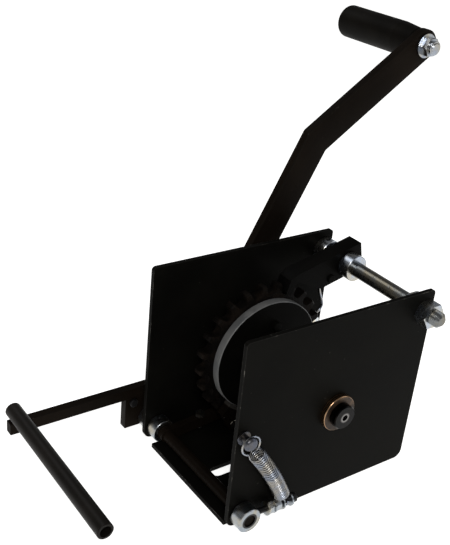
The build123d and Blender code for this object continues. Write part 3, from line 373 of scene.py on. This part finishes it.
def disc_steel(name):
    """Bare turned rim, with black paint on both faces."""
    finish = Finish(name)
    place = finish.place(SHAFT)
    radius, _ = finish.around(place)
    rings = finish.turned(place, 2400.0)
    cloud = finish.noise(place, 40.0, 5.0, 0.6)
    rim_radius = (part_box("brake_disc")[1].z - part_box("brake_disc")[0].z) / 2
    bare = (radius + (cloud - 0.5) * 0.0008).between(rim_radius - 0.0010, rim_radius - 0.0006)
    steel = finish.mix(cloud.between(0.3, 0.7), (0.115, 0.118, 0.120), (0.165, 0.165, 0.162))
    return finish.surface(
        Base_Color=finish.mix(bare, BLACK, steel),
        Metallic=bare * 0.3,
        Roughness=0.46 + (rings - 0.5) * 0.25 - bare * 0.02,
        Specular_IOR_Level=0.02,
        Normal=finish.bump(rings, 0.00008, 0.6),
    )


BRIGHT = (0.74, 0.73, 0.69)
# Painted shade: the pedal collars go dark round the bore, out to about 8 mm, standing in for a
# shadowed hole.
COLLAR_PAINTED_SHADE = (0.0078, 0.0088, (0.03, 0.03, 0.03))
# Painted highlight: a lighter spot at the centre of the main shaft's black end face.
CENTRE_PAINTED_HIGHLIGHT = (0.0034, 0.0060, (0.20, 0.19, 0.185))
rod_zinc = plated("rod_zinc", ROD, (0.17, 0.165, 0.148), 2600.0, 0.28)
nut_zinc = plated("nut_zinc", ROD, (0.42, 0.43, 0.44), 2600.0, 0.26)
pedal_zinc = plated("pedal_zinc", PEDAL, (0.34, 0.345, 0.34), 2600.0, 0.28, COLLAR_PAINTED_SHADE)
handle_zinc = plated("handle_zinc", HANDLE, (0.36, 0.365, 0.37), 2600.0, 0.24)
screw_zinc = plated("screw_zinc", middle("spring_screw"), (0.10, 0.10, 0.11), 2600.0, 0.34)
stud_zinc = plated("stud_zinc", middle("spring_stud"), (0.40, 0.40, 0.385), 1800.0, 0.28)
shaft_zinc = plated("shaft_zinc", SHAFT, (0.60, 0.60, 0.58), 2000.0, 0.3)
wire_steel = plated("wire_steel", middle("return_spring"), (0.30, 0.305, 0.32), 3000.0, 0.26)
dark_shaft = plated("dark_shaft", SHAFT, (0.004, 0.0038, 0.0037), 2400.0, 0.24, CENTRE_PAINTED_HIGHLIGHT)
anchor_zinc = plated("anchor_zinc", middle("spring_anchor"), BRIGHT, 2600.0, 0.28)
bronze = bearing_bronze("bronze")
disc_finish = disc_steel("disc_finish")

# %% [markdown]
# ## The grip and the lining
# The grip is moulded and handled: a fine pebbled skin with a slight shine where a palm
# has polished it. The brake's lining is pressed fibre, flecked and quite matt.


# %% Moulded grip and brake lining
def moulded(name):
    finish = Finish(name)
    place = finish.place(HANDLE)
    inputs = {"Vector": place, "Scale": 900.0}
    pebble = finish.signal("ShaderNodeTexVoronoi", {}, inputs, "Distance")
    polish = finish.noise(place, 26.0, 4.0)
    handled = polish.between(0.35, 0.7)
    colour = finish.mix(handled, (0.0026, 0.0021, 0.0015), (0.0050, 0.0040, 0.0028))
    return finish.surface(
        Base_Color=colour,
        Roughness=0.58 - polish * 0.24 + pebble * 0.15,
        Specular_IOR_Level=0.04,
        Normal=finish.bump(pebble, 0.00010, 0.5),
    )


def pressed_fibre(name):
    finish = Finish(name)
    place = finish.place()
    fleck = finish.noise(place, 900.0, 3.0, 0.7)
    patch = finish.noise(place, 90.0, 3.0)
    colour = finish.mix(patch, (0.012, 0.010, 0.008), (0.024, 0.019, 0.014))
    colour = finish.mix(fleck.between(0.6, 0.7), colour, (0.09, 0.06, 0.03))
    return finish.surface(
        Base_Color=colour,
        Roughness=0.9 - fleck * 0.1,
        Normal=finish.bump(fleck, 0.0003, 0.8),
    )


grip_skin = moulded("grip_skin")
lining_fibre = pressed_fibre("lining_fibre")

# %% [markdown]
# ## Dressing the machined parts
# Parts whose shape is already right keep their mesh and only get a finish. The painted ones
# that are bevelled further on get theirs there.

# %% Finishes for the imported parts
DRESS = {
    rod_zinc: ("pawl_rod",),
    nut_zinc: ("rod_nuts", "rod_collars"),
    pedal_zinc: ("pedal_collars",),
    handle_zinc: ("handle_bolt", "handle_nut", "handle_washers"),
    screw_zinc: ("spring_screw", "spring_washer"),
    stud_zinc: ("stud_nuts", "stud_washers", "brake_stop_screw", "cross_pin"),
    anchor_zinc: ("spring_anchor",),
    shaft_zinc: ("crank_bolt", "crank_washer"),
    dark_shaft: ("main_shaft",),
    bronze: ("front_bushing", "rear_bushing", "thrust_washers"),
    dark_oxide: (
        "spring_stud",
        "link_screw",
        "hub_set_screw",
        "rod_collar_screws",
        "pedal_collar_screws",
        "sprocket_key",
        "crank_key",
    ),
    disc_finish: ("brake_disc",),
    plate_paint: ("drum_flange", "drum_barrel", "disc_screws", "rope_clamp_screw", "pawl_pin"),
    foot_paint: ("foot_bar",),
    bar_paint: ("pedal_shaft", "crank_hub"),
    grip_skin: ("handle_grip",),
    lining_fibre: ("brake_lining",),
}
for finish_material, dressed in DRESS.items():
    for node_name in dressed:
        for material_slot in nodes[node_name].material_slots:
            material_slot.material = finish_material
print("dressed", sum(len(names) for names in DRESS.values()))

# %% [markdown]
# ## Softened edges
# A sheared or sawn edge is never a perfect corner: it catches a thin line of light. Each
# plate and bar is copied, its loose triangles are joined, and a bevel runs along every sharp
# edge. The bevel gets a second material, so the paint is rubbed exactly there. On the plates
# and the pawl that paint is also lighter than the face, a painted highlight along the edge.


# %% Bevel copies of the plates and bars
def only(piece):
    bpy.ops.object.select_all(action="DESELECT")
    piece.select_set(True)
    bpy.context.view_layer.objects.active = piece


def smooth(piece, degrees):
    only(piece)
    bpy.ops.object.shade_smooth_by_angle(angle=math.radians(degrees))


def joined_copy(node_name, piece_name):
    """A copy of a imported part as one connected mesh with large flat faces."""
    piece = bpy.data.objects.new(piece_name, nodes[node_name].data.copy())
    bpy.context.scene.collection.objects.link(piece)
    only(piece)
    bpy.ops.mesh.customdata_custom_splitnormals_clear()
    bpy.ops.object.mode_set(mode="EDIT")
    bpy.ops.mesh.select_all(action="SELECT")
    bpy.ops.mesh.remove_doubles(threshold=0.00001)
    bpy.ops.mesh.dissolve_limited(angle_limit=math.radians(0.6))
    bpy.ops.object.mode_set(mode="OBJECT")
    return piece


SHARP_ANGLE = math.radians(38)
FLAT_ANGLE = 20


def softened(node_name, body, width, face, edge):
    """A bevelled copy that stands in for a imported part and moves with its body."""
    piece = joined_copy(node_name, node_name + "_soft")
    piece.data.materials.clear()
    piece.data.materials.append(face)
    piece.data.materials.append(edge)
    bevel = piece.modifiers.new("edge", "BEVEL")
    bevel.width = width
    bevel.segments = 2
    bevel.limit_method = "ANGLE"
    bevel.angle_limit = SHARP_ANGLE
    bevel.material = 1
    only(piece)
    bpy.ops.object.modifier_apply(modifier="edge")
    smooth(piece, FLAT_ANGLE)
    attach(piece, body)
    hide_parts(node_name)
    print(piece.name, len(piece.data.polygons))
    return piece


SOFT_PARTS = (
    ("front_plate", "frame", "black_paint", 0.5, plate_paint, plate_edge),
    ("rear_plate", "frame", "black_paint", 0.5, plate_paint, plate_edge),
    ("base_plate", "frame", "black_paint", 0.5, plate_paint, plate_edge),
    ("crank_arm", "drum", "crank_paint", 0.5, bar_paint, bar_edge),
    ("pedal_arm", "pedal", "crank_paint", 0.6, bar_paint, bar_edge),
    ("pedal_link", "pedal", "crank_paint", 0.6, bar_paint, bar_edge),
    ("brake_arm", "pedal", "crank_paint", 0.5, bar_paint, bar_edge),
    ("brake_shoe", "pedal", "crank_paint", 0.5, bar_paint, bar_edge),
    ("pawl", "pawl", "sprocket_steel", 0.8, pawl_paint, plate_edge),
    ("ratchet_sprocket", "drum", "sprocket_steel", 0.25, sprocket_oxide, sprocket_edge),
)
for part, body, slot, width_mm, face, edge in SOFT_PARTS:
    softened(part, body, width_mm * MM, face, edge)

# %% [markdown]
# ## Springs
# Both springs are wound from round wire. A path of points is worked out turn by turn, given
# to a smooth curve with a round section, and then turned into a mesh. Winding along a curved
# centre line lets the long spring sag sideways a little, as it does between its two screws.


# %% Wind a wire along a path
WIRE_SIDES = 5


def wire(name, path, diameter, finish_material):
    """A round wire through points, as one closed mesh."""
    line = bpy.data.curves.new(name, "CURVE")
    line.dimensions = "3D"
    line.bevel_depth = diameter / 2
    line.bevel_resolution = WIRE_SIDES
    line.use_fill_caps = True
    spline = line.splines.new("NURBS")
    spline.points.add(len(path) - 1)
    for point, place in zip(spline.points, path):
        point.co = (*place, 1.0)
    spline.order_u = 3
    spline.use_endpoint_u = True
    spline.resolution_u = 3
    piece = bpy.data.objects.new(name, line)
    bpy.context.scene.collection.objects.link(piece)
    only(piece)
    bpy.ops.object.convert(target="MESH")
    piece = bpy.context.object
    piece.data.materials.append(finish_material)
    smooth(piece, 60)
    return piece


def arc(centre, first, second, radius, start, end, count):
    """Points on an arc in the plane of two unit directions, angles in degrees."""
    places = []
    for step in range(count + 1):
        angle = math.radians(start + (end - start) * step / count)
        places.append(centre + radius * (first * math.cos(angle) + second * math.sin(angle)))
    return places


X, Y, Z = Vector((1, 0, 0)), Vector((0, 1, 0)), Vector((0, 0, 1))

# %% [markdown]
# The return spring hooks over the screw high on the front plate and pulls on the stud
# below. Its upper coils stand open and its lower ones lie close, and it bows outwards.

# %% The return spring
SPRING_WIRE = 1.9 * MM
SPRING_RADIUS = 7.55 * MM
EYE_RADIUS = 9.8 * MM
EYE_HANG = 4.75 * MM
HOOK_RADIUS = 4.5 * MM
COIL_START = 18.0 * MM
COIL_END = 14.5 * MM
OPEN_TURNS = 12
CLOSE_TURNS = 18
OPEN_FACTOR = 1.65
POINTS_PER_TURN = 16
BOW = 2.0 * MM

screw = middle("spring_screw")
screw.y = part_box("return_spring")[0].y + SPRING_RADIUS + SPRING_WIRE / 2
stud = middle("spring_stud")
HOOK_PLACE = 5.8 * MM
hook = Vector((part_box("stud_washers")[1].x - HOOK_PLACE, screw.y, stud.z))
hook_ring = Vector((hook.x, stud.y, hook.z))


def spring_line(share):
    """Centre line of the coil, bowed away from the straight line between its ends."""
    along = (hook - screw).normalized()
    start = screw + along * COIL_START
    end = hook - along * COIL_END
    sideways = Vector((-along.z, 0, along.x))
    if sideways.x < 0:
        sideways.negate()
    bow = BOW * 4 * share * (1 - share)
    return start.lerp(end, share) + sideways * bow


def coil_points(line, radius, shares, first_angle):
    """A helix round a curved line, with one share of the line for each point."""
    places = []
    for number, share in enumerate(shares):
        here = line(share)
        tangent = (line(min(share + 0.01, 1.0)) - line(max(share - 0.01, 0.0))).normalized()
        across = tangent.cross(Y).normalized()
        angle = first_angle + 2 * math.pi * number / POINTS_PER_TURN
        places.append(here + radius * (across * math.cos(angle) + Y * math.sin(angle)))
    return places


def coil_shares(open_turns, close_turns, open_factor):
    """Shares that are spread out over the open turns and tight over the close ones."""
    steps = [open_factor] * (open_turns * POINTS_PER_TURN) + [1.0] * (close_turns * POINTS_PER_TURN)
    total = sum(steps)
    shares = [0.0]
    for step in steps:
        shares.append(shares[-1] + step / total)
    return [min(share, 1.0) for share in shares]


shares = coil_shares(OPEN_TURNS, CLOSE_TURNS, OPEN_FACTOR)
coil = coil_points(spring_line, SPRING_RADIUS, shares, math.pi)
down = (hook - screw).normalized()
down_angle = math.degrees(math.atan2(down.z, down.x))
EYE_START, EYE_END = down_angle + 12, down_angle + 322
eye_loop = arc(screw + down * EYE_HANG, X, Z, EYE_RADIUS, EYE_START, EYE_END, 18)
hook_loop = arc(hook_ring, Z, Y, HOOK_RADIUS, -25, 300, 12)
return_spring = wire("return_spring_coil", eye_loop + coil + hook_loop, SPRING_WIRE, wire_steel)
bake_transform(return_spring)
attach(return_spring, "frame")
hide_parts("return_spring")
print("return spring", len(return_spring.data.polygons), [round(v, 4) for v in hook])

# %% [markdown]
# The pawl's spring is wound round the tie rod beside the pawl. Its long leg runs down the
# edge of the rear plate and bends behind an anchor screw, and its short leg presses down on
# the pin that stands out of the pawl.

# %% The pawl spring
PAWL_WIRE = 3.2 * MM
PAWL_COIL_RADIUS = 10.6 * MM
coil_low, coil_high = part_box("pawl_spring")
coil_y = (coil_low.y + coil_high.y) / 2
rod_here = Vector((ROD.x, coil_y, ROD.z))
anchor = middle("spring_anchor")
pin = middle("pawl_pin")
FIRST_ANGLE = 249
CROSSING = (540, 609)
LAST_ANGLE = 900
ANGLE_STEP = 21
turns = []
for angle in range(FIRST_ANGLE, LAST_ANGLE + 1, ANGLE_STEP):
    share = min(max((angle - CROSSING[0]) / (CROSSING[1] - CROSSING[0]), 0.0), 1.0)
    out = X * math.cos(math.radians(angle)) + Z * math.sin(math.radians(angle))
    turns.append(rod_here + PAWL_COIL_RADIUS * out + Y * PAWL_WIRE * (share - 0.5))
end_y = turns[-1].y
LEG_BENDS_MM = ((4, 38), (8.5, 27), (13.5, 16), (13, 12), (10, 7), (4, 5), (-6, 5))
leg = [Vector((anchor.x + across * MM, end_y, anchor.z + up * MM)) for across, up in LEG_BENDS_MM]
PIN_RISE = 5.2 * MM
pin_top = Vector((pin.x, turns[0].y, pin.z + PIN_RISE))
short_leg = [pin_top + Vector((-5 * MM, 0, -0.8 * MM)), pin_top, pin_top.lerp(turns[0], 0.55)]
pawl_spring = wire("pawl_spring_wire", short_leg + turns + leg, PAWL_WIRE, wire_steel)
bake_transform(pawl_spring)
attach(pawl_spring, "frame")
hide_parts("pawl_spring")
print("pawl spring", len(pawl_spring.data.polygons))

# %% [markdown]
# ## Weld beads
# A bead is a row of small overlapping puddles. Small spheres are set along the joint at a
# puddle's spacing, and a voxel remesh melts them into one rippled skin.


# %% Rippled beads along the plates
BEAD_STEP = 3.6 * MM
BEAD_RADIUS = 3.4 * MM
BEAD_INSET = 0.8 * MM
BEAD_RISE = 0.6 * MM
VOXEL = 0.7 * MM


def bead(name, places):
    rows = []
    for place in places:
        bpy.ops.object.select_all(action="DESELECT")
        bpy.ops.mesh.primitive_uv_sphere_add(
            segments=12, ring_count=8, radius=BEAD_RADIUS, location=place
        )
        rows.append(bpy.context.object)
    only(rows[0])
    for puddle in rows:
        puddle.select_set(True)
    bpy.ops.object.join()
    piece = bpy.context.object
    piece.name = name
    bpy.ops.object.transform_apply(location=True, rotation=True, scale=True)
    melt = piece.modifiers.new("melt", "REMESH")
    melt.mode = "VOXEL"
    melt.voxel_size = VOXEL
    bpy.ops.object.modifier_apply(modifier="melt")
    piece.data.materials.append(weld_paint)
    smooth(piece, 60)
    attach(piece, "frame")
    return piece


weld_low, weld_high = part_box("base_welds")
length = weld_high.x - weld_low.x - 2 * BEAD_RADIUS
total = int(length / BEAD_STEP)
height = weld_low.z + BEAD_RISE
for side_name, y in (("front", weld_low.y + BEAD_INSET), ("rear", weld_high.y - BEAD_INSET)):
    starts = [weld_low.x + BEAD_RADIUS + length * n / total for n in range(total + 1)]
    bead("weld_" + side_name, [(x, y, height) for x in starts])
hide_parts("base_welds")

# %% [markdown]
# ## The studio
# A pale floor that glows a little, a broad light over the camera's shoulder and two weaker
# ones show black paint by its soft reflections, which is the only way that black shows a
# shape. The Standard view keeps the paint as dark as it is.

# %% Floor, world and lights
FLOOR_SIZE = 60
FLOOR_DROP = 0.0005
FLOOR_GLOW = 0.85
SKY = 0.25
bpy.ops.object.select_all(action="DESELECT")
bpy.ops.mesh.primitive_plane_add(size=FLOOR_SIZE, location=(0, 0, -FLOOR_DROP))
floor = bpy.context.object
floor.name = "floor"
floor_finish = Finish("pale_floor")
floor_tone = floor_finish.noise(floor_finish.place(), 3.0, 2.0)
floor_colour = floor_finish.mix(floor_tone, (0.90, 0.90, 0.89), (0.94, 0.94, 0.93))
floor.data.materials.append(
    floor_finish.surface(
        Base_Color=floor_colour,
        Roughness=0.9,
        Emission_Color=floor_colour,
        Emission_Strength=FLOOR_GLOW,
    )
)

world = bpy.data.worlds.new("studio")
bpy.context.scene.world = world
bpy.context.scene.view_settings.view_transform = "Standard"
world.use_nodes = True
background = world.node_tree.nodes["Background"]
background.inputs["Color"].default_value = (1.0, 1.0, 1.0, 1.0)
background.inputs["Strength"].default_value = SKY


def soft_light(name, place, aim, size, power, colour):
    bpy.ops.object.select_all(action="DESELECT")
    bpy.ops.object.light_add(type="AREA", location=place)
    light = bpy.context.object
    light.name = name
    light.data.shape = "DISK"
    light.data.size = size
    light.data.energy = power
    light.data.color = colour
    light.rotation_euler = (Vector(aim) - Vector(place)).to_track_quat("-Z", "Y").to_euler()
    return light


TARGET = (0.0, 0.0, 0.15)
soft_light("key", (-0.9, -1.3, 1.5), TARGET, 0.6, 17, (1.0, 0.98, 0.95))
soft_light("fill", (1.6, -0.9, 1.2), TARGET, 1.2, 6, (0.95, 0.97, 1.0))
soft_light("back", (-0.4, 1.6, 1.8), TARGET, 1.2, 8, (1.0, 1.0, 1.0))
